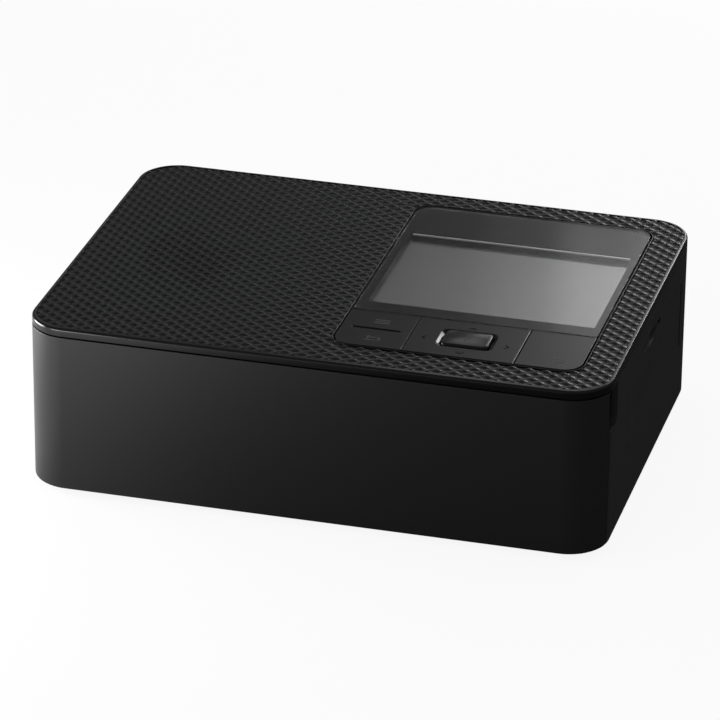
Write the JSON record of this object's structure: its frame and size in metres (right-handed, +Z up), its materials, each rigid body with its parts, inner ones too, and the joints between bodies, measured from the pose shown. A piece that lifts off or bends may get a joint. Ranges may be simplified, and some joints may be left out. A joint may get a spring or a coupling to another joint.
{
  "type": "compact photo printer",
  "caption": "Low black box printer with a hinged front cover, a side ink door, a textured top, a display window and a row of press keys.",
  "frame": {"origin": "on the table, below the middle of the case", "axes": "+X right, +Y to the back, +Z up; the front cover faces -Y"},
  "size_m": [0.1822, 0.133, 0.0576],
  "materials": {
    "textured_cover": "moulded black ABS with a lozenge texture",
    "case_plastic": "fine satin black ABS",
    "cover_plastic": "satin black ABS",
    "base_plastic": "matte black ABS",
    "inner_plastic": "matte black plastic",
    "window_acrylic": "polished tinted acrylic",
    "display": "dark display under a polariser",
    "key_plastic": "polished black ABS",
    "key_rubber": "moulded silicone",
    "foot_rubber": "matte rubber",
    "roller_rubber": "ground rubber",
    "screw_steel": "zinc-plated steel",
    "steel_pin": "ground steel",
    "sheet_steel": "zinc-coated sheet steel",
    "motor_can": "drawn steel can",
    "sink_aluminium": "extruded aluminium",
    "circuit_board": "green solder mask",
    "chip_epoxy": "moulded epoxy",
    "gear_plastic": "natural acetal",
    "bush_plastic": "natural acetal",
    "cassette_plastic": "grey-black moulded plastic",
    "ink_film": "dye-coated film",
    "latch_plastic": "green moulded plastic",
    "head_ceramic": "glazed ceramic"
  },
  "bodies": {
    "case": {"top_cover": "textured_cover", "body_case": "case_plastic", "rear_grille": "case_plastic", "finger_cup": "case_plastic", "base_plate": "base_plastic", "front_bezel": "base_plastic", "ink_door_pin": "steel_pin", "rubber_feet": "foot_rubber", "screws": "screw_steel", "panel_frame": "inner_plastic", "screen_window": "window_acrylic", "lcd_panel": "display", "key_board": "circuit_board", "key_switches": "sheet_steel", "main_board": "circuit_board", "board_chips": "chip_epoxy", "card_socket": "sheet_steel", "power_board": "circuit_board", "dc_jack": "inner_plastic", "usb_port": "sheet_steel", "chassis_left": "sheet_steel", "chassis_right": "sheet_steel", "chassis_ties": "steel_pin", "paper_tray_guide": "inner_plastic", "paper_guides": "inner_plastic", "pinch_holders": "inner_plastic", "bearing_bushes": "bush_plastic", "motor_plate": "sheet_steel", "feed_motor": "motor_can", "ribbon_motor": "motor_can", "head_motor": "motor_can", "ink_cassette": "cassette_plastic", "ink_ribbon": "ink_film", "head_pivot": "steel_pin"},
    "front_cover": {"front_cover": "cover_plastic"},
    "ink_door": {"ink_door": "case_plastic"},
    "menu_back_key": {"menu_back_key": "key_plastic"},
    "nav_rubber": {"nav_rubber": "key_rubber"},
    "nav_key": {"nav_key": "key_plastic"},
    "ok_button": {"ok_button": "key_plastic"},
    "power_key": {"power_key": "key_plastic"},
    "feed_drive": {"feed_roller": "steel_pin", "feed_gear": "gear_plastic"},
    "pickup_drive": {"pickup_shaft": "steel_pin", "pickup_rubber": "roller_rubber", "pickup_gear": "gear_plastic"},
    "pinch_roller": {"pinch_roller": "roller_rubber"},
    "platen": {"platen_shaft": "steel_pin", "platen_rubber": "roller_rubber"},
    "feed_pinion": {"feed_pinion": "gear_plastic"},
    "ribbon_pinion": {"ribbon_pinion": "gear_plastic"},
    "head_pinion": {"head_pinion": "gear_plastic"},
    "take_up": {"take_up_gear": "gear_plastic", "take_up_spool": "ink_film"},
    "supply_spool": {"supply_spool": "ink_film"},
    "cassette_latch": {"cassette_latch": "latch_plastic"},
    "cam_shaft": {"cam_shaft": "steel_pin"},
    "print_head": {"head_arm": "sheet_steel", "heat_sink": "sink_aluminium", "thermal_head": "head_ceramic"}
  },
  "joints": [
    {"name": "front_cover_hinge", "type": "hinge", "parent": "case", "child": "front_cover", "pos_m": [0, -0.0623, 0.0061], "axis": [1, 0, 0], "range_deg": [0, 90]},
    {"name": "ink_door_hinge", "type": "hinge", "parent": "case", "child": "ink_door", "pos_m": [0.0895, 0.046, 0.033], "axis": [0, 0, 1], "range_deg": [0, 90]},
    {"name": "menu_back_rock", "type": "hinge", "parent": "case", "child": "menu_back_key", "pos_m": [0.01395, -0.04, 0.0542], "axis": [1, 0, 0], "range_deg": [-1.2, 1.2], "stiffness_Nm_per_rad": 0.06},
    {"name": "nav_tilt_front", "type": "hinge", "parent": "case", "child": "nav_rubber", "pos_m": [0.0424, -0.04, 0.0531], "axis": [1, 0, 0], "range_deg": [-1.2, 1.2], "stiffness_Nm_per_rad": 0.06},
    {"name": "nav_tilt_side", "type": "hinge", "parent": "nav_rubber", "child": "nav_key", "pos_m": [0.0424, -0.04, 0.0531], "axis": [0, 1, 0], "range_deg": [-1.2, 1.2], "stiffness_Nm_per_rad": 0.06},
    {"name": "ok_press", "type": "slide", "parent": "case", "child": "ok_button", "axis": [0, 0, -1], "range_m": [0, 0.0003], "stiffness_N_per_m": 400},
    {"name": "power_press", "type": "slide", "parent": "case", "child": "power_key", "axis": [0, 0, -1], "range_m": [0, 0.0003], "stiffness_N_per_m": 400},
    {"name": "feed_spin", "type": "hinge", "parent": "case", "child": "feed_drive", "pos_m": [0, 0.004, 0.025], "axis": [1, 0, 0], "continuous": true},
    {"name": "pickup_spin", "type": "hinge", "parent": "case", "child": "pickup_drive", "pos_m": [0, -0.014, 0.03301], "axis": [1, 0, 0], "continuous": true},
    {"name": "feed_pinion_spin", "type": "hinge", "parent": "case", "child": "feed_pinion", "pos_m": [0, -0.01423, 0.0234], "axis": [1, 0, 0], "continuous": true},
    {"name": "pinch_spin", "type": "hinge", "parent": "case", "child": "pinch_roller", "pos_m": [0, 0.004, 0.0313], "axis": [1, 0, 0], "continuous": true},
    {"name": "platen_spin", "type": "hinge", "parent": "case", "child": "platen", "pos_m": [0, 0.03, 0.021], "axis": [1, 0, 0], "continuous": true},
    {"name": "take_up_spin", "type": "hinge", "parent": "case", "child": "take_up", "pos_m": [0, 0.044, 0.0366], "axis": [1, 0, 0], "continuous": true},
    {"name": "ribbon_pinion_spin", "type": "hinge", "parent": "case", "child": "ribbon_pinion", "pos_m": [0, 0.0399, 0.02532], "axis": [1, 0, 0], "continuous": true},
    {"name": "supply_spin", "type": "hinge", "parent": "case", "child": "supply_spool", "pos_m": [0, 0.017, 0.0366], "axis": [1, 0, 0], "continuous": true},
    {"name": "head_press", "type": "hinge", "parent": "case", "child": "print_head", "pos_m": [0, 0.0545, 0.046], "axis": [1, 0, 0], "range_deg": [0, 4], "stiffness_Nm_per_rad": 0.4, "springref_deg": -3.44},
    {"name": "cam_turn", "type": "hinge", "parent": "case", "child": "cam_shaft", "pos_m": [0, 0.0592, 0.0398], "axis": [1, 0, 0], "range_deg": [0, 90]},
    {"name": "head_pinion_spin", "type": "hinge", "parent": "case", "child": "head_pinion", "pos_m": [0, 0.05184, 0.03555], "axis": [1, 0, 0], "range_deg": [-90, 0]},
    {"name": "latch_lift", "type": "hinge", "parent": "case", "child": "cassette_latch", "pos_m": [0, 0.0566, 0.0326], "axis": [1, 0, 0], "range_deg": [-25, 0], "stiffness_Nm_per_rad": 0.002, "springref_deg": 5.73}
  ],
  "couplings": [
    {"joint": "pickup_spin", "follows": "feed_spin", "ratio": -1.3333},
    {"joint": "feed_pinion_spin", "follows": "feed_spin", "ratio": -3.3333},
    {"joint": "pinch_spin", "follows": "feed_spin", "ratio": -1},
    {"joint": "ribbon_pinion_spin", "follows": "take_up_spin", "ratio": -1.8333},
    {"joint": "cam_turn", "follows": "head_press", "ratio": 22.5},
    {"joint": "head_pinion_spin", "follows": "head_press", "ratio": -22.5}
  ]
}
